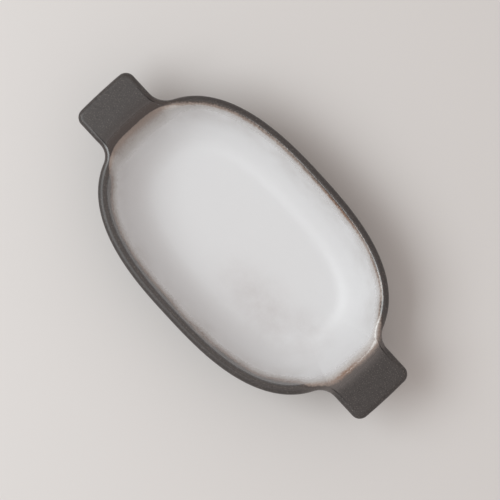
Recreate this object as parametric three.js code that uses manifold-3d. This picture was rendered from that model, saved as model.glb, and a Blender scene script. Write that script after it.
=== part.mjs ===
import * as THREE from 'three';
import * as BufferGeometryUtils from 'three/addons/utils/BufferGeometryUtils.js';
import Module from 'manifold-3d';

// Oval stoneware dish with a flat ear at each end.
// Millimetres, +Z up, +X along the ears, origin on the table under the middle.

// Plan sizes
const bowlLength = 194.2;
const earReach = 27.9;
const bowlWidth = 125;
const ovalPower = 2.64;

// Section sizes, measured across the short axis
const dishHeight = 44;
const rimThickness = 6;
const floorThickness = 5.5;
const floorHalfWidth = 32.5;
const wallFootHalfWidth = 42;
const footHeight = 2.5;
const footWidth = 5;
const footStepIn = 2;

// Pulls that bend the wall, as run and rise from its four ends
const outerFootPull = { run: 10, rise: 6.5 };
const outerRimPull = { run: 2, rise: 17 };
const innerRimPull = { run: 1.5, rise: 12 };
const innerFloorPull = { run: 14.5, rise: 0.5 };

// Ear sizes
const earWidth = 42.4;
const earThickness = 7;
const earTipRadius = 5.7;
const earEdgeRadius = 2.6;
const earRootRadius = 12.2;
const earRootBite = 0.5;
const earTuck = 30;

// Glaze skins and the gap that parts keep
const glazeThickness = 0.6;
const jointGap = 0.3;
const glazeLineHeight = 5;

// Facets
const sectors = 48;
const wallSteps = 7;
const rimSteps = 6;
const earArcSteps = 3;
const earEdgeSteps = 2;
const ovalSamples = 400;
const solverSteps = 40;
const weldDistance = 1e-4;
const clearance = 20;

const dishLength = bowlLength + 2 * earReach;
const halfWidth = bowlWidth / 2;
const bowlStretch = (bowlLength - bowlWidth) / 2;
const rimRadius = rimThickness / 2;
const rimCentre = new THREE.Vector2(halfWidth - rimRadius, dishHeight - rimRadius);
const floorHeight = footHeight + floorThickness;
const clayInset = glazeThickness + jointGap;

const wasm = await Module();
wasm.setup();

// A point of the oval that crosses the short axis at the given half-width
function ovalPoint(half, angle) {
  const c = Math.cos(angle);
  const s = Math.sin(angle);
  const scale = (Math.abs(c) ** ovalPower + Math.abs(s) ** ovalPower) ** (-1 / ovalPower);
  return new THREE.Vector2((half + bowlStretch) * c * scale, half * s * scale);
}

// Shared vertices merged and collapsed triangles dropped
function weld(geometry) {
  geometry.deleteAttribute('normal');
  geometry.deleteAttribute('uv');
  const merged = BufferGeometryUtils.mergeVertices(geometry, weldDistance);
  const index = merged.index.array;
  const kept = [];
  for (let i = 0; i < index.length; i += 3) {
    const [a, b, c] = index.slice(i, i + 3);
    if (a !== b && b !== c && c !== a) kept.push(a, b, c);
  }
  merged.setIndex(kept);
  return merged;
}

// Spins a section of (half-width, height) points and stretches each ring to its oval
function ovalSolid(section) {
  const geometry = new THREE.LatheGeometry(section, sectors);
  const position = geometry.attributes.position;
  for (let i = 0; i < position.count; i++) {
    const spun = new THREE.Vector2(position.getX(i), -position.getZ(i));
    const half = spun.length();
    const point = half > weldDistance ? ovalPoint(half, spun.angle()) : new THREE.Vector2();
    position.setXYZ(i, point.x, point.y, position.getY(i));
  }
  return weld(geometry);
}

function toSolid(geometry) {
  return new wasm.Manifold(new wasm.Mesh({
    numProp: 3,
    vertProperties: new Float32Array(geometry.attributes.position.array),
    triVerts: Uint32Array.from(geometry.index.array),
  }));
}

function toGeometry(solid) {
  const mesh = solid.getMesh();
  const geometry = new THREE.BufferGeometry();
  geometry.setAttribute('position', new THREE.BufferAttribute(mesh.vertProperties, mesh.numProp));
  geometry.setIndex(new THREE.BufferAttribute(mesh.triVerts, 1));
  return geometry;
}

const v = (half, height) => new THREE.Vector2(half, height);

// The wall's two faces: the outer one runs up to the rim, the inner one down to the floor
const outerFace = new THREE.CubicBezierCurve(
  v(wallFootHalfWidth, footHeight),
  v(wallFootHalfWidth + outerFootPull.run, footHeight + outerFootPull.rise),
  v(halfWidth - outerRimPull.run, rimCentre.y - outerRimPull.rise),
  v(halfWidth, rimCentre.y),
);
const innerFace = new THREE.CubicBezierCurve(
  v(halfWidth - rimThickness, rimCentre.y),
  v(halfWidth - rimThickness - innerRimPull.run, rimCentre.y - innerRimPull.rise),
  v(floorHalfWidth + innerFloorPull.run, floorHeight + innerFloorPull.rise),
  v(floorHalfWidth, floorHeight),
);

// Points of a face moved into the clay by inset
function facePoints(face, inset) {
  const points = [];
  for (let step = 0; step <= wallSteps; step++) {
    const t = step / wallSteps;
    const tangent = face.getTangent(t);
    const point = face.getPoint(t);
    points.push(v(point.x - tangent.y * inset, point.y + tangent.x * inset));
  }
  return points;
}

// Rim arc about its centre line; 0 is the outer side, PI the inner side
function rimPoints(inset, from, to) {
  const points = [];
  const count = Math.round(rimSteps * Math.abs(to - from) / Math.PI);
  for (let step = 0; step <= count; step++) {
    const angle = from + (to - from) * step / count;
    const radius = rimRadius - inset;
    points.push(v(rimCentre.x + radius * Math.cos(angle), rimCentre.y + radius * Math.sin(angle)));
  }
  return points;
}

// The bowl's outer form, filled to the top
function outerBlock(inset) {
  const face = facePoints(outerFace, inset).slice(0, -1);
  return toSolid(ovalSolid([
    v(0, footHeight),
    v(face[0].x, footHeight),
    ...face.slice(inset > 0 ? 0 : 1),
    ...rimPoints(inset, 0, Math.PI / 2),
    v(0, dishHeight - inset),
  ]));
}

// The space inside the bowl, grown into the clay and open upwards
function cavity(growth) {
  const face = facePoints(innerFace, growth).reverse().slice(0, -1);
  return toSolid(ovalSolid([
    v(0, face[0].y),
    ...face,
    ...rimPoints(growth, Math.PI, Math.PI / 2),
    v(rimCentre.x, dishHeight + clearance),
    v(0, dishHeight + clearance),
  ]));
}

// Centre of the concave fillet where an ear's side runs into the oval
function earRootCentre() {
  const y = earWidth / 2 + earRootRadius;
  const share = Math.max(0, 1 - (y / halfWidth) ** ovalPower);
  let near = bowlLength / 2 * share ** (1 / ovalPower);
  let far = near + 2 * earRootRadius;
  for (let step = 0; step < solverSteps; step++) {
    const middle = v((near + far) / 2, y);
    const gap = middle.distanceTo(nearestOnOval(middle));
    if (gap < earRootRadius - earRootBite) near = middle.x;
    else far = middle.x;
  }
  return v(far, y);
}

function nearestOnOval(point) {
  let best = ovalPoint(halfWidth, 0);
  for (let step = 1; step <= ovalSamples; step++) {
    const candidate = ovalPoint(halfWidth, step / ovalSamples * Math.PI / 2);
    if (candidate.distanceTo(point) < best.distanceTo(point)) best = candidate;
  }
  return best;
}

// The +X ear's plan, with its root tucked into the bowl
function earOutline(inset) {
  const half = earWidth / 2 - inset;
  const tip = dishLength / 2 - inset;
  const corner = earTipRadius - inset;
  const root = earRootRadius + inset;
  const centre = earRootCentre();
  const touch = nearestOnOval(centre).sub(centre).angle();
  const tucked = bowlLength / 2 - earTuck;
  const start = v(centre.x + root * Math.cos(touch), centre.y + root * Math.sin(touch));
  const shape = new THREE.Shape();
  shape.moveTo(tucked, -start.y);
  shape.lineTo(start.x, -start.y);
  shape.absarc(centre.x, -centre.y, root, -touch, Math.PI / 2, true);
  shape.absarc(tip - corner, -half + corner, corner, -Math.PI / 2, 0, false);
  shape.absarc(tip - corner, half - corner, corner, 0, Math.PI / 2, false);
  shape.absarc(centre.x, centre.y, root, -Math.PI / 2, touch, true);
  shape.lineTo(tucked, start.y);
  return shape;
}

// The ear slab with rounded edges, flush with the rim
function earSlab(inset) {
  const edge = earEdgeRadius - inset;
  const geometry = new THREE.ExtrudeGeometry(earOutline(inset), {
    depth: earThickness - 2 * inset - 2 * edge,
    curveSegments: earArcSteps,
    bevelThickness: edge,
    bevelSize: edge,
    bevelOffset: -edge,
    bevelSegments: earEdgeSteps,
  });
  geometry.translate(0, 0, dishHeight - earThickness + inset + edge);
  return geometry;
}

// Both ears as solids
function earSolids(inset) {
  const right = toSolid(weld(earSlab(inset)));
  const left = toSolid(weld(earSlab(inset).rotateZ(Math.PI)));
  return right.add(left);
}

// Bowl and ears as one form
function wholeForm(inset) {
  return outerBlock(inset).add(earSolids(inset)).subtract(cavity(inset));
}

function bowlBody() {
  const outer = facePoints(outerFace, clayInset).slice(0, -1);
  const inner = facePoints(innerFace, clayInset).slice(1);
  return ovalSolid([
    v(0, footHeight),
    v(outer[0].x, footHeight),
    ...outer,
    ...rimPoints(clayInset, 0, Math.PI),
    ...inner,
    v(0, inner[inner.length - 1].y),
  ]);
}

function clayEar() {
  return toGeometry(toSolid(weld(earSlab(clayInset))).subtract(outerBlock(glazeThickness)));
}

function footRing() {
  const outer = wallFootHalfWidth - footStepIn;
  const inner = outer - footWidth;
  const top = footHeight - jointGap;
  return ovalSolid([v(inner, 0), v(outer, 0), v(outer, top), v(inner, top), v(inner, 0)]);
}

// White glass skin from just under the rim down over the floor
function innerGlaze() {
  const under = facePoints(innerFace, glazeThickness).reverse();
  const over = facePoints(innerFace, 0);
  const top = rimCentre.y - jointGap;
  under[under.length - 1].y = top;
  over[0].y = top;
  return ovalSolid([v(0, under[0].y), ...under, ...over, v(0, floorHeight)]);
}

// Dark skin over the rim, the ears and the outside, down to the glaze line
function outerGlaze() {
  const skin = wholeForm(0).subtract(wholeForm(glazeThickness));
  const lining = facePoints(innerFace, 2 * glazeThickness).reverse();
  lining[lining.length - 1].y = rimCentre.y;
  const liningBlock = toSolid(ovalSolid([v(0, lining[0].y), ...lining, v(0, rimCentre.y)]));
  const bareDepth = glazeLineHeight + clearance;
  const bareBlock = new THREE.BoxGeometry(2 * dishLength, 2 * dishLength, bareDepth);
  bareBlock.translate(0, 0, glazeLineHeight - bareDepth / 2);
  return toGeometry(skin.subtract(liningBlock).subtract(toSolid(weld(bareBlock))));
}

const clay = { color: 0xb7a793, roughness: 0.85, metalness: 0 };
const whiteGlaze = { color: 0xd6d6d4, roughness: 0.2, metalness: 0 };
const darkGlaze = { color: 0x4b4746, roughness: 0.45, metalness: 0 };

function addPiece(group, name, geometry, finish) {
  geometry.computeVertexNormals();
  const mesh = new THREE.Mesh(geometry, new THREE.MeshStandardMaterial(finish));
  mesh.name = name;
  group.add(mesh);
  return mesh;
}

const dish = new THREE.Group();
dish.name = 'oval_eared_dish';
addPiece(dish, 'bowl_body', bowlBody(), clay);
addPiece(dish, 'foot_ring', footRing(), clay);
addPiece(dish, 'ear_right', clayEar(), clay);
addPiece(dish, 'ear_left', clayEar(), clay).rotation.z = Math.PI;
addPiece(dish, 'inner_glaze', innerGlaze(), whiteGlaze);
addPiece(dish, 'outer_glaze', outerGlaze(), darkGlaze);

export default dish;
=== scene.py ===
import math

import bpy
import numpy as np
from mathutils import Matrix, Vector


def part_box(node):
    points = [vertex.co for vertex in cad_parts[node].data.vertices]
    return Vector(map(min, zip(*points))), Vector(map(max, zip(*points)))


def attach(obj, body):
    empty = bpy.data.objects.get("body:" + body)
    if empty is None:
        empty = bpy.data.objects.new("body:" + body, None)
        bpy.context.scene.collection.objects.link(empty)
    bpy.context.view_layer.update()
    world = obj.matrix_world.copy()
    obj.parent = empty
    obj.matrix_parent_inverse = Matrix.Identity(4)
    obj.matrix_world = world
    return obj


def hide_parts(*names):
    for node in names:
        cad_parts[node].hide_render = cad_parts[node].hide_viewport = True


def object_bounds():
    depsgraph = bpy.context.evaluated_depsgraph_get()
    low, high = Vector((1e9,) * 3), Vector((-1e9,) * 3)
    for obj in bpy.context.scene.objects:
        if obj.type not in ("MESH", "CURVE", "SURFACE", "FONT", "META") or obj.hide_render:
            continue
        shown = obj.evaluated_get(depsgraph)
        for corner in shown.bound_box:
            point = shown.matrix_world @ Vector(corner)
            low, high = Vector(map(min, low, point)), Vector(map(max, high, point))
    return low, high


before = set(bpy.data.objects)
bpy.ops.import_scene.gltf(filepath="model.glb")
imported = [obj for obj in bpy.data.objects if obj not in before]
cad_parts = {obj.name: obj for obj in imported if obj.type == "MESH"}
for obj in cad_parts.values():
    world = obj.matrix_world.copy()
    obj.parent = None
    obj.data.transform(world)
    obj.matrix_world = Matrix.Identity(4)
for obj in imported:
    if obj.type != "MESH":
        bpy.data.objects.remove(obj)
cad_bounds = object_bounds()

# The oval stoneware dish, glazed dark outside and pale inside, seen from straight above.
# Metres, in the CAD frame: +X along the ears, +Z up.

MM = 0.001

# Places taken from the frame
DISH_HIGH = cad_bounds[1]
GLAZE = 0.6 * MM
CLAY_INSET = 0.9 * MM
HALF_LENGTH = DISH_HIGH[0]
HALF_WIDTH = DISH_HIGH[1]
TOP = DISH_HIGH[2]
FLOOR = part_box("inner_glaze")[0].z + GLAZE
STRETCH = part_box("bowl_body")[1].x + CLAY_INSET - HALF_WIDTH
FOOT_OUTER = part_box("foot_ring")[1].y
GLAZE_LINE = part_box("outer_glaze")[0].z
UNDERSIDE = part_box("bowl_body")[0].z

# Plan
OVAL_POWER = 2.64
EAR_HALF = 21.2 * MM
EAR_CORNER = 5.7 * MM
EAR_ROOT = 12.2 * MM
EAR_THICKNESS = 7 * MM
EAR_TIP_BOW = 0.6 * MM
LEFT_EAR_SHIFT = -1.07 * MM
FOOT_WIDTH = 5 * MM

# Section
RIM = 3 * MM
RIM_CENTRE = TOP - RIM
FLOOR_HALF = 32.5 * MM
FLOOR_DISH = 0.35 * MM
WALL_FOOT_HALF = 42 * MM
EAR_CREST = -2.7 * MM
EAR_LIP_ROLL = 7.5 * MM
WALL_LEAN = 0.12
EAR_WALL_LEAN = 0.3
CREST_TRIES = 58
CREST_SLACK = 0.02 * MM
FLAT_FULL = 8 * MM
UNDER_FILLET = 2 * MM
OUTSIDE_MARK = -8 * MM

# Pulls that bend the wall, as run and rise from its four ends
INNER_RIM_PULL = (1.5 * MM, 12 * MM)
INNER_FLOOR_PULL = (14.5 * MM, 0.31 * MM)
OUTER_FOOT_PULL = (10 * MM, 6.5 * MM)
OUTER_RIM_PULL = (2 * MM, 17 * MM)

# Angles from the long axis over which the ears' glaze, with the painted shade and sheen on their lips,
# and the ears' soft inner edge fade
TONE_FADE = (math.radians(12), math.radians(36))
LIP_FADE = (math.radians(13), math.radians(34))

# Hand work
UNEVENNESS = 0.003

# Search for the fillet at an ear's root
OVAL_SAMPLES = 20001
ROOT_SEARCH = (85 * MM, 120 * MM)
ROOT_HALVINGS = 50

# Mesh density
TIP_STEPS = 16
CORNER_STEPS = 10
SIDE_STEPS = 14
ROOT_STEPS = 14
LONG_STEPS = 66
FLOOR_ROWS = 14
WALL_ROWS = 26
RIM_ROWS = 36
EDGE_ROWS = 8
UNDER_ROWS = 10
OUTER_ROWS = 24


def smooth(low, high, value):
    t = np.clip((np.asarray(value, float) - low) / (high - low), 0, 1)
    return t * t * (3 - 2 * t)


def mix(a, b, share):
    return a + (b - a) * share


def oval(half, phi):
    """The point at parameter phi of the oval that crosses the short axis at half."""
    c, s = np.cos(phi), np.sin(phi)
    scale = (np.abs(c) ** OVAL_POWER + np.abs(s) ** OVAL_POWER) ** (-1 / OVAL_POWER)
    reach = half + STRETCH * smooth(0, FLOOR_HALF, half)
    return np.stack([reach * c * scale, half * s * scale], -1)


def oval_normal(phi):
    p = oval(HALF_WIDTH, phi)
    size = np.array([HALF_WIDTH + STRETCH, HALF_WIDTH])
    n = np.sign(p) * np.abs(p / size) ** (OVAL_POWER - 1) / size
    return n / np.linalg.norm(n, axis=-1, keepdims=True)


def arc(centre, radius, start, end, steps):
    a = start + (end - start) * np.arange(steps) / steps
    return np.stack([centre[0] + radius * np.cos(a), centre[1] + radius * np.sin(a)], -1)


def line(start, end, steps):
    t = np.arange(steps)[:, None] / steps
    return np.array(start) + (np.array(end) - np.array(start)) * t


def root_centre():
    """Centre of the fillet between an ear's side and the oval, and its touching parameter."""
    phi = np.linspace(0, math.pi / 2, OVAL_SAMPLES)
    edge = oval(HALF_WIDTH, phi)
    y = EAR_HALF + EAR_ROOT
    near, far = ROOT_SEARCH
    for _ in range(ROOT_HALVINGS):
        x = (near + far) / 2
        distance = np.hypot(edge[:, 0] - x, edge[:, 1] - y)
        outside = (x / (HALF_WIDTH + STRETCH)) ** OVAL_POWER + (y / HALF_WIDTH) ** OVAL_POWER > 1
        if outside and distance.min() > EAR_ROOT:
            far = x
        else:
            near = x
    return np.array([x, y]), phi[distance.argmin()]


def nearest_phi(points):
    """The oval's parameters where its edge is nearest to the points."""
    phi = np.linspace(0, math.pi / 2, OVAL_SAMPLES)
    edge = oval(HALF_WIDTH, phi)
    return np.array([phi[np.hypot(*(edge - point).T).argmin()] for point in points])


def quadrant():
    """Plan outline from the ear's tip to the middle of the long side, and its parameters."""
    centre, phi_touch = root_centre()
    touch = oval(HALF_WIDTH, phi_touch) - centre
    touch_angle = math.atan2(touch[1], touch[0])
    inner = HALF_LENGTH - EAR_CORNER
    ear = np.concatenate([
        line((HALF_LENGTH, 0), (HALF_LENGTH, EAR_HALF - EAR_CORNER), TIP_STEPS),
        arc((inner, EAR_HALF - EAR_CORNER), EAR_CORNER, 0, math.pi / 2, CORNER_STEPS),
        line((inner, EAR_HALF), (centre[0], EAR_HALF), SIDE_STEPS),
        arc(centre, EAR_ROOT, -math.pi / 2, touch_angle, ROOT_STEPS),
    ])
    phi_long = np.linspace(phi_touch, math.pi / 2, LONG_STEPS + 1)
    outline = np.concatenate([ear, oval(HALF_WIDTH, phi_long)])
    phi_ear = nearest_phi(ear)
    root_start = TIP_STEPS + CORNER_STEPS + SIDE_STEPS
    along = (np.arange(len(outline)) - root_start) / ROOT_STEPS
    ear_share = 1 - smooth(0, 1, along)
    return outline, np.concatenate([phi_ear, phi_long]), ear_share


def all_round(values, mirrored, turned):
    """A quadrant's values carried round the whole dish."""
    half = np.concatenate([values[:-1], mirrored(values[:0:-1])])
    return np.concatenate([half, turned(half)])


quarter_outline, quarter_phi, quarter_share = quadrant()
OUTLINE = all_round(quarter_outline, lambda p: p * [-1, 1], lambda p: -p)
PHI = all_round(quarter_phi, lambda a: math.pi - a, lambda a: math.pi + a)
EAR = all_round(quarter_share, lambda s: s, lambda s: s)
TANGENT = np.roll(OUTLINE, -1, 0) - np.roll(OUTLINE, 1, 0)
OUTLINE_NORMAL = np.stack([TANGENT[:, 1], -TANGENT[:, 0]], -1)
OUTLINE_NORMAL /= np.linalg.norm(OUTLINE_NORMAL, axis=1, keepdims=True)
OVAL_EDGE = oval(HALF_WIDTH, PHI)
OVAL_NORMAL = oval_normal(PHI)
EAR_REACH = np.sum((OUTLINE - OVAL_EDGE) * OVAL_NORMAL, 1)
FOLD = PHI % math.pi
AXIS_ANGLE = np.minimum(FOLD, math.pi - FOLD)
EAR_TONE = 1 - smooth(*TONE_FADE, AXIS_ANGLE)
LIP = 1 - smooth(*LIP_FADE, AXIS_ANGLE)


def inset_plan(inset):
    return OUTLINE - np.reshape(inset, (-1, 1)) * OUTLINE_NORMAL


def ring_plan(inward):
    """Plan points that lie inward of the oval's edge: parallel near it, ovals further in."""
    inward = np.broadcast_to(np.asarray(inward, float), PHI.shape)
    near = OVAL_EDGE - inward[:, None] * OVAL_NORMAL
    deep = oval(np.maximum(HALF_WIDTH - inward, 0), PHI)
    return mix(near, deep, smooth(6 * MM, 20 * MM, inward)[:, None])


def bezier(p0, p1, p2, p3, t):
    t = np.asarray(t, float)[..., None]
    p0, p1, p2, p3 = (np.array(p) for p in (p0, p1, p2, p3))
    return ((1 - t) ** 3 * p0 + 3 * (1 - t) ** 2 * t * p1
            + 3 * (1 - t) * t ** 2 * p2 + t ** 3 * p3)


def inner_face(t):
    """Inner wall from just under the rim, t = 0, to the floor's edge, t = 1."""
    rim, edge = HALF_WIDTH - 2 * RIM, FLOOR + FLOOR_DISH
    under_rim = (rim - INNER_RIM_PULL[0], RIM_CENTRE - INNER_RIM_PULL[1])
    over_floor = (FLOOR_HALF + INNER_FLOOR_PULL[0], edge + INNER_FLOOR_PULL[1])
    return bezier((rim, RIM_CENTRE), under_rim, over_floor, (FLOOR_HALF, edge), t)


def outer_face(t):
    """Outer wall from the foot, t = 0, to the rim, t = 1."""
    over_foot = (WALL_FOOT_HALF + OUTER_FOOT_PULL[0], UNDERSIDE + OUTER_FOOT_PULL[1])
    under_rim = (HALF_WIDTH - OUTER_RIM_PULL[0], RIM_CENTRE - OUTER_RIM_PULL[1])
    return bezier((WALL_FOOT_HALF, UNDERSIDE), over_foot, under_rim, (HALF_WIDTH, RIM_CENTRE), t)


FACE_T = np.linspace(0, 1, 2001)
FACE = outer_face(FACE_T)


def outer_half(z):
    return np.interp(z, FACE[:, 1], FACE[:, 0])


class Rows:
    """Rings of points, from the top centre outwards, down and back to the bottom centre."""

    def __init__(self):
        self.points = []
        self.inward = []

    def add(self, plan, z, outside=False):
        z = np.broadcast_to(np.asarray(z, float), PHI.shape)
        self.points.append(np.column_stack([plan, z]))
        inward = np.sum((OVAL_EDGE - plan) * OVAL_NORMAL, 1)
        self.inward.append(np.minimum(inward, 0) + OUTSIDE_MARK if outside else inward)


def crest_inward():
    """How far in from the oval's edge the rim is highest.

    That is out on the ears, but never nearer to their sides than RIM.
    """
    tries = np.linspace(EAR_CREST, RIM, CREST_TRIES)
    chosen = np.full(len(PHI), RIM)
    for inward in tries[::-1]:
        plan = ring_plan(inward)
        gaps = np.linalg.norm(plan[:, None] - OUTLINE[None], axis=2).min(axis=1)
        chosen = np.where(gaps >= RIM - CREST_SLACK, inward, chosen)
    eased = mix(RIM, EAR_CREST, LIP)
    return np.maximum(chosen, eased)


CREST = crest_inward()
ROLL = mix(RIM, EAR_LIP_ROLL, LIP * (RIM - CREST) / (RIM - EAR_CREST))
LEAN = mix(WALL_LEAN, EAR_WALL_LEAN, LIP)


def rim_row(share):
    """One row over the rim, from share 0 inside to 1 outside.

    It is a half round, and at the ears a roll and a flat.
    """
    crest = ring_plan(CREST)
    edge = inset_plan(np.full(len(PHI), RIM))
    flat = smooth(0, FLAT_FULL, np.linalg.norm(edge - crest, axis=1)) / 3
    curved = (1 - flat) / 2
    rolled = mix(LEAN, math.pi / 2, np.clip(share / curved, 0, 1))
    crossed = np.clip((share - curved) / np.maximum(flat, 1e-6), 0, 1)
    rounded = (1 - np.clip((share - curved - flat) / curved, 0, 1)) * math.pi / 2
    on_roll = share <= curved
    on_edge = share > curved + flat
    plan = mix(crest, edge, crossed[:, None])
    plan = np.where(on_roll[:, None], ring_plan(CREST + ROLL * np.cos(rolled)), plan)
    plan = np.where(on_edge[:, None], inset_plan(RIM - RIM * np.cos(rounded)), plan)
    z = np.where(on_roll, TOP - ROLL + ROLL * np.sin(rolled), TOP)
    return plan, np.where(on_edge, RIM_CENTRE + RIM * np.sin(rounded), z)


def body_rows():
    rows = Rows()
    for i in range(1, FLOOR_ROWS + 1):
        half = FLOOR_HALF * i / FLOOR_ROWS
        rows.add(oval(np.full(len(PHI), half), PHI), FLOOR + FLOOR_DISH * (half / FLOOR_HALF) ** 2)
    top_z = rim_row(0)[1]
    top_inward = CREST + ROLL * np.cos(LEAN)
    for i in range(1, WALL_ROWS):
        t = 1 - i / WALL_ROWS
        half, z = inner_face(t)
        inward = HALF_WIDTH - half + (top_inward - 2 * RIM) * (1 - t) ** 2
        rows.add(ring_plan(inward), z + (top_z - RIM_CENTRE) * (1 - t) ** 3)
    for step in range(RIM_ROWS + 1):
        rows.add(*rim_row(step / RIM_ROWS))
    straight = EAR_THICKNESS - 2 * RIM
    for i in range(1, EDGE_ROWS + 1):
        angle = math.pi / 2 * max(0, i - 2) / (EDGE_ROWS - 2)
        z = RIM_CENTRE - straight * min(1, i / 2) - RIM * math.sin(angle)
        inset = mix(HALF_WIDTH - outer_half(z), RIM * (1 - math.cos(angle)), EAR)
        rows.add(inset_plan(inset), z, outside=True)
    slab = TOP - EAR_THICKNESS
    start = inset_plan(mix(HALF_WIDTH - outer_half(slab), RIM, EAR))
    end_z = slab - UNDER_FILLET
    end = ring_plan(HALF_WIDTH - outer_half(end_z))
    for i in range(1, UNDER_ROWS + 1):
        share = i / UNDER_ROWS
        rows.add(mix(start, end, share), slab - UNDER_FILLET * mix(share, share ** 6, EAR), outside=True)
    high = np.interp(end_z, FACE[:, 1], FACE_T)
    low = np.interp(GLAZE_LINE, FACE[:, 1], FACE_T)
    for i in range(1, OUTER_ROWS + 1):
        half, z = outer_face(mix(high, low, i / OUTER_ROWS))
        rows.add(ring_plan(HALF_WIDTH - half), z, outside=True)
    line_half = outer_half(GLAZE_LINE)
    for back, drop in ((0.2, 0.18), (0.5, 0.28), (1.2, 0.2)):
        rows.add(ring_plan(HALF_WIDTH - line_half + back * MM), GLAZE_LINE - drop * MM, outside=True)
    return rows


def base_rows():
    """The bare clay: the wall's lowest band, the foot ring and the underside."""
    rows = Rows()
    bare = 0.5 * MM
    line_half = outer_half(GLAZE_LINE) - bare
    foot_inner = FOOT_OUTER - FOOT_WIDTH
    soft = 0.7 * MM
    section = [
        (line_half - 1 * MM, GLAZE_LINE - 0.5 * MM),
        (line_half - 0.6 * MM, GLAZE_LINE - 0.6 * MM),
        (mix(line_half, WALL_FOOT_HALF, 0.5), mix(GLAZE_LINE, UNDERSIDE, 0.6)),
        (WALL_FOOT_HALF - bare, UNDERSIDE + 0.3 * MM),
        (WALL_FOOT_HALF - 1.2 * MM, UNDERSIDE - 0.1 * MM),
        (FOOT_OUTER + 0.3 * MM, UNDERSIDE - 0.3 * MM),
        (FOOT_OUTER, UNDERSIDE - 0.8 * MM),
    ]
    for angle in np.linspace(0, math.pi / 2, 5):
        section.append((FOOT_OUTER - soft + soft * math.cos(angle), soft - soft * math.sin(angle)))
    for angle in np.linspace(math.pi / 2, math.pi, 5):
        section.append((foot_inner + soft + soft * math.cos(angle), soft - soft * math.sin(angle)))
    section += [
        (foot_inner, UNDERSIDE - 0.9 * MM),
        (foot_inner - 0.3 * MM, UNDERSIDE - 0.3 * MM),
        (foot_inner - 1 * MM, UNDERSIDE),
    ]
    for half, z in section:
        rows.add(ring_plan(HALF_WIDTH - half), z)
    for share in (0.8, 0.55, 0.3, 0.1):
        rows.add(oval(np.full(len(PHI), (foot_inner - 1 * MM) * share), PHI), UNDERSIDE)
    return rows


def hand_made(points):
    """Small unevenness of the pressed clay, the bow of the ears' ends and the left ear's shift."""
    x, y = points[:, 0].copy(), points[:, 1].copy()
    angle = np.arctan2(y, x)
    ease = smooth(0.02, 0.06, np.hypot(x, y))
    wave = 0.5 + 0.3 * np.sin(3 * angle + 0.7) + 0.2 * np.sin(5 * angle + 2.1)
    shrink = 1 - UNEVENNESS * wave * ease * (1 - smooth(0.085, 0.1, np.abs(x)))
    points[:, 1] = y * shrink
    ear = smooth(0.104, HALF_LENGTH, np.abs(x))
    points[:, 0] = x - np.sign(x) * EAR_TIP_BOW * (y / EAR_HALF) ** 2 * ear
    points[:, 1] += LEFT_EAR_SHIFT * smooth(0.092, 0.106, -x)
    return points


def build(name, rows, top_z, bottom_z):
    """A closed mesh from rows of rings and the two centre points."""
    count = len(PHI)
    rings = np.concatenate(rows.points)
    points = np.concatenate([rings, [[0, 0, top_z], [0, 0, bottom_z]]])
    points = hand_made(points)
    top, bottom = len(rings), len(rings) + 1
    faces = []
    for k in range(count):
        n = (k + 1) % count
        faces.append((top, k, n))
        for i in range(len(rows.points) - 1):
            a, b = i * count, (i + 1) * count
            faces.append((a + k, b + k, b + n, a + n))
        last = (len(rows.points) - 1) * count
        faces.append((last + k, bottom, last + n))
    mesh = bpy.data.meshes.new(name)
    mesh.from_pydata(points.tolist(), [], faces)
    mesh.shade_smooth()
    inward = np.concatenate([np.concatenate(rows.inward), [HALF_WIDTH, -HALF_WIDTH]]) / MM
    tone = np.concatenate([np.tile(EAR_TONE, len(rows.points)), [0, 0]])
    for label, values in (("inward_mm", inward), ("ear_tone", tone)):
        attribute = mesh.attributes.new(label, "FLOAT", "POINT")
        attribute.data.foreach_set("value", values.astype(np.float32))
    piece = bpy.data.objects.new(name, mesh)
    bpy.context.scene.collection.objects.link(piece)
    return piece


def srgb(red, green, blue):
    """A colour given in 0-255 sRGB as linear RGBA."""
    channels = []
    for c in (red / 255, green / 255, blue / 255):
        channels.append(c / 12.92 if c <= 0.04045 else ((c + 0.055) / 1.055) ** 2.4)
    return (*channels, 1)


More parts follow.
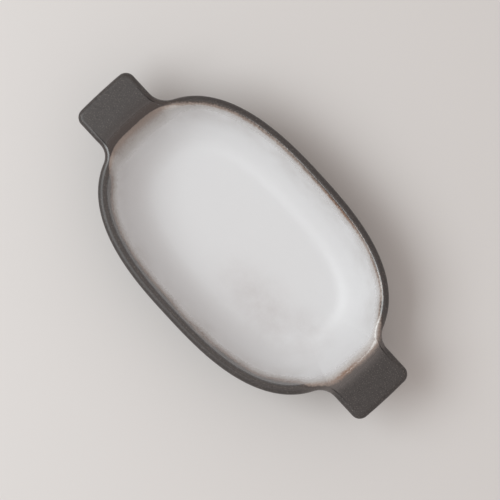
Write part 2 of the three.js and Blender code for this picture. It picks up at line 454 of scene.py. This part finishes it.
class Graph:
    """Short ways to add nodes to one material."""

    def __init__(self, name):
        self.material = bpy.data.materials.new(name)
        self.material.use_nodes = True
        self.tree = self.material.node_tree
        self.shader = self.tree.nodes["Principled BSDF"]
        self.place = self.add("ShaderNodeTexCoord").outputs["Object"]

    def add(self, kind, inputs=(), **settings):
        node = self.tree.nodes.new(kind)
        for key, value in settings.items():
            setattr(node, key, value)
        for key, value in dict(inputs).items():
            self.put(value, node.inputs[key])
        return node

    def put(self, value, socket):
        if isinstance(value, bpy.types.NodeSocket):
            self.tree.links.new(value, socket)
        else:
            socket.default_value = value

    def attribute(self, label):
        return self.add("ShaderNodeAttribute", attribute_name=label).outputs["Fac"]

    def noise(self, scale, detail=2.0, roughness=0.5):
        inputs = {"Vector": self.place, "Scale": scale, "Detail": detail, "Roughness": roughness}
        return self.add("ShaderNodeTexNoise", inputs).outputs[0]

    def math(self, operation, a, b=0.0):
        return self.add("ShaderNodeMath", {0: a, 1: b}, operation=operation).outputs[0]

    def linear(self, value, gain, offset):
        inputs = {0: value, 1: gain, 2: offset}
        return self.add("ShaderNodeMath", inputs, operation="MULTIPLY_ADD").outputs[0]

    def step(self, value, low, high, to_low=0.0, to_high=1.0):
        inputs = {"Value": value, "From Min": low, "From Max": high, "To Min": to_low, "To Max": to_high}
        node = self.add("ShaderNodeMapRange", inputs, interpolation_type="SMOOTHSTEP")
        return node.outputs["Result"]

    def blend(self, share, a, b):
        node = self.add("ShaderNodeMix", data_type="RGBA")
        self.put(share, node.inputs[0])
        self.put(a, node.inputs[6])
        self.put(b, node.inputs[7])
        return node.outputs[2]

    def near(self, centre, size):
        """1 at the centre of an ellipsoid, 0 outside it."""
        moved = self.add("ShaderNodeVectorMath", {0: self.place, 1: centre}, operation="SUBTRACT")
        inputs = {0: moved.outputs[0], 1: tuple(1 / s for s in size)}
        scaled = self.add("ShaderNodeVectorMath", inputs, operation="MULTIPLY")
        length = self.add("ShaderNodeVectorMath", {0: scaled.outputs[0]}, operation="LENGTH")
        return self.step(length.outputs["Value"], 1.0, 0.0)

    def bump(self, height, strength, distance):
        inputs = {"Height": height, "Strength": strength, "Distance": distance}
        return self.add("ShaderNodeBump", inputs).outputs["Normal"]


CHARCOAL = srgb(58, 54, 53)
CHARCOAL_FLECK = srgb(108, 101, 97)
CHARCOAL_DEEP = srgb(48, 44, 43)
BROWN_BLACK = srgb(50, 41, 38)
COPPER = srgb(124, 94, 74)
BREAK_GREY = srgb(146, 136, 130)
# Grey of the painted sheen on the right ear's lip
EAR_PAINTED_SHEEN = srgb(108, 102, 100)
MIST = srgb(184, 181, 179)
WHITE = srgb(217, 218, 220)
CLOUD = srgb(186, 181, 181)


def glaze_material():
    """Satin charcoal glaze breaking through brown and grey into the glossy white one, with painted shade
    on the left ear's lip and a painted sheen on the right ear's lip.
    """
    g = Graph("two_glazes")
    inward = g.attribute("inward_mm")
    ear = g.attribute("ear_tone")
    drift = g.linear(g.noise(45, 3), 3.0, -1.5)
    grain = g.linear(g.noise(900, 3, 0.65), 3.6, -1.8)
    depth = g.math("ADD", inward, g.math("ADD", drift, grain))
    fleck = g.step(g.noise(1500, 2, 0.6), 0.57, 0.7)
    pit = g.step(g.noise(620, 3, 0.6), 0.44, 0.3)
    charcoal = g.blend(fleck, CHARCOAL, CHARCOAL_FLECK)
    charcoal = g.blend(pit, charcoal, CHARCOAL_DEEP)
    x = g.add("ShaderNodeSeparateXYZ", {"Vector": g.place}).outputs["X"]
    left_ear = g.math("MULTIPLY", ear, g.step(x, -0.03, -0.07))
    right_ear = g.math("MULTIPLY", ear, g.step(x, 0.03, 0.07))
    # Painted shade: the left ear's lip, which turns away from the window, is darkened to brown-black.
    left_ear_painted_shade = g.math("MULTIPLY", left_ear, g.step(depth, -13.0, -1.0))
    charcoal = g.blend(left_ear_painted_shade, charcoal, BROWN_BLACK)
    # Painted sheen: the right ear's lip, which faces the window, is lightened to grey, fading out onto
    # the ear.
    right_ear_painted_sheen = g.math("MULTIPLY", right_ear, g.step(depth, -10.0, 2.5))
    charcoal = g.blend(right_ear_painted_sheen, charcoal, EAR_PAINTED_SHEEN)
    y = g.add("ShaderNodeSeparateXYZ", {"Vector": g.place}).outputs["Y"]
    far_side = g.linear(g.step(y, -0.01, 0.045), 2.6, 0.0)
    middle = g.math("SUBTRACT", g.linear(ear, -7.0, 8.0), far_side)
    spread = g.linear(ear, 3.4, 3.2)
    soft = g.step(depth, g.math("SUBTRACT", middle, spread), g.math("ADD", middle, spread))
    fine_drift = g.linear(g.noise(300, 2), 0.9, -0.45)
    edge_place = g.linear(ear, -5.7, 5.6)
    past_edge = g.math("SUBTRACT", g.math("ADD", inward, fine_drift), edge_place)
    line = g.step(past_edge, 0.0, 1.1)
    behind = g.linear(g.step(depth, 0.0, 13.0), 0.7, 0.3)
    crisp = g.math("MULTIPLY", line, behind)
    white = g.linear(left_ear, g.math("SUBTRACT", crisp, soft), soft)

    copper_places = [
        g.near((0.022, 0.056, 0.042), (0.03, 0.012, 0.02)),
        g.near((0.095, -0.006, 0.042), (0.014, 0.014, 0.02)),
        g.near((-0.03, -0.057, 0.042), (0.05, 0.01, 0.02)),
    ]
    copper_share = g.math("MAXIMUM", g.math("MAXIMUM", copper_places[0], copper_places[1]),
                          g.linear(copper_places[2], 0.4, 0.0))
    rust = g.blend(g.linear(copper_share, 0.75, 0.25), BREAK_GREY, COPPER)
    cloud_place = g.math("MAXIMUM", g.near((0.036, -0.018, 0.008), (0.055, 0.026, 0.03)),
                         g.near((0.067, -0.0096, 0.01), (0.03, 0.022, 0.03)))
    cloud = g.math("MULTIPLY", cloud_place, g.step(g.noise(60, 5, 0.65), 0.15, 0.85))
    pale = g.blend(g.linear(cloud, 0.6, 0.0), WHITE, CLOUD)
    # Darker streaky grey band on the steep upper inner wall, 8 to 18 mm in: glaze streaks with painted
    # shade under the rim, left off at the right ear where the wall is lit.
    wall_streaks_and_shade = g.math("MULTIPLY", g.step(depth, 18.0, 8.0), g.step(g.noise(40, 4, 0.6), 0.3, 0.75))
    wall_streaks_and_shade = g.math("MULTIPLY", wall_streaks_and_shade, g.linear(right_ear, -0.55, 0.55))
    pale = g.blend(wall_streaks_and_shade, pale, MIST)

    singed = g.math("MULTIPLY", g.step(white, 0.0, 0.16), g.linear(right_ear, -0.8, 1.0))
    colour = g.blend(singed, charcoal, BROWN_BLACK)
    colour = g.blend(g.step(white, 0.12, 0.42), colour, rust)
    colour = g.blend(g.step(white, 0.38, 0.72), colour, MIST)
    colour = g.blend(g.step(white, 0.68, 1.0), colour, pale)
    speck = g.step(g.noise(2600, 1), 0.66, 0.76)
    colour = g.blend(g.linear(speck, 0.12, 0.0), colour, CLOUD)
    g.put(colour, g.shader.inputs["Base Color"])

    ear_wet = g.math("MULTIPLY", ear, g.step(inward, -7.0, -1.5))
    wet = g.math("MAXIMUM", ear_wet, g.step(inward, 2.4, 3.8))
    damp = g.linear(wet, -0.27, 0.4)
    dry = g.step(white, 0.85, 1.0, 0.0, 0.3)
    rough = g.math("ADD", g.math("ADD", damp, dry), g.linear(fleck, 0.05, 0.0))
    shine = g.math("SUBTRACT", g.linear(wet, 0.5, 0.5), g.linear(dry, 1.7, 0.0))
    g.put(shine, g.shader.inputs["Specular IOR Level"])
    g.put(rough, g.shader.inputs["Roughness"])
    tooth = g.math("MULTIPLY", g.noise(1500, 3, 0.6), g.linear(white, -0.9, 1.0))
    ripple = g.linear(g.noise(38, 2), 1.2, 0.0)
    g.put(g.bump(g.math("ADD", tooth, ripple), 0.35, 0.00018), g.shader.inputs["Normal"])
    return g.material


def clay_material():
    """Bare buff stoneware with iron specks."""
    g = Graph("bare_stoneware")
    body = g.blend(g.noise(70, 4, 0.6), srgb(176, 158, 136), srgb(198, 182, 160))
    speck = g.step(g.noise(1100, 2), 0.66, 0.74)
    g.put(g.blend(speck, body, srgb(104, 84, 68)), g.shader.inputs["Base Color"])
    g.shader.inputs["Roughness"].default_value = 0.88
    g.put(g.bump(g.noise(1600, 4, 0.7), 0.5, 0.0002), g.shader.inputs["Normal"])
    return g.material


def floor_material():
    g = Graph("pale_floor")
    g.shader.inputs["Base Color"].default_value = srgb(215, 213, 212)
    g.shader.inputs["Roughness"].default_value = 0.95
    g.shader.inputs["Specular IOR Level"].default_value = 0.1
    return g.material


# View: straight down, the long axis turned clockwise in the picture
TURN = math.radians(47.3)
FRAME_PIXELS = 500
PIXEL = 0.5962 * MM
CENTRE_PIXEL = (243.5, 245.2)
CAMERA_RISE = 1.2
SENSOR = 36
RIGHT = np.array([math.cos(TURN), math.sin(TURN), 0])
UP = np.array([-math.sin(TURN), math.cos(TURN), 0])


def add_camera():
    data = bpy.data.cameras.new("camera")
    data.sensor_width = SENSOR
    data.lens = SENSOR * CAMERA_RISE / (FRAME_PIXELS * PIXEL)
    data.clip_start = 0.05
    camera = bpy.data.objects.new("camera", data)
    aside = (FRAME_PIXELS / 2 - CENTRE_PIXEL[0]) * PIXEL
    above = (CENTRE_PIXEL[1] - FRAME_PIXELS / 2) * PIXEL
    place = RIGHT * aside + UP * above
    camera.location = (place[0], place[1], RIM_CENTRE + CAMERA_RISE)
    camera.rotation_euler = (0, 0, TURN)
    bpy.context.scene.collection.objects.link(camera)
    bpy.context.scene.camera = camera


def add_window():
    """A large soft window to the left of the picture."""
    rise = math.radians(55)
    distance = 1.2
    data = bpy.data.lights.new("window", "AREA")
    data.shape = "RECTANGLE"
    data.size = 0.75
    data.size_y = 0.9
    data.energy = 8.6
    data.color = (0.92, 0.98, 1.0)
    light = bpy.data.objects.new("window", data)
    place = -RIGHT * math.cos(rise) * distance
    light.location = (place[0], place[1], math.sin(rise) * distance)
    light.rotation_euler = (0, -(math.pi / 2 - rise), TURN)
    bpy.context.scene.collection.objects.link(light)


def add_world():
    world = bpy.data.worlds.new("room")
    world.use_nodes = True
    background = world.node_tree.nodes["Background"]
    background.inputs["Color"].default_value = (1.0, 0.91, 0.86, 1)
    background.inputs["Strength"].default_value = 0.62
    bpy.context.scene.world = world


def add_floor():
    reach = 1.5
    mesh = bpy.data.meshes.new("floor")
    corners = [(-reach, -reach, 0), (reach, -reach, 0), (reach, reach, 0), (-reach, reach, 0)]
    mesh.from_pydata(corners, [], [(0, 1, 2, 3)])
    mesh.materials.append(floor_material())
    floor = bpy.data.objects.new("floor", mesh)
    bpy.context.scene.collection.objects.link(floor)


def add_dish():
    body = build("glazed_body", body_rows(), FLOOR, GLAZE_LINE - 0.2 * MM)
    body.data.materials.append(glaze_material())
    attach(body, "root")
    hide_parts("inner_glaze", "outer_glaze", "ear_left", "ear_right")
    base = build("bare_base", base_rows(), GLAZE_LINE - 0.5 * MM, UNDERSIDE)
    base.data.materials.append(clay_material())
    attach(base, "root")
    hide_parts("bowl_body", "foot_ring")


bpy.context.scene.view_settings.view_transform = "Standard"
add_camera()
add_window()
add_world()
add_floor()
add_dish()
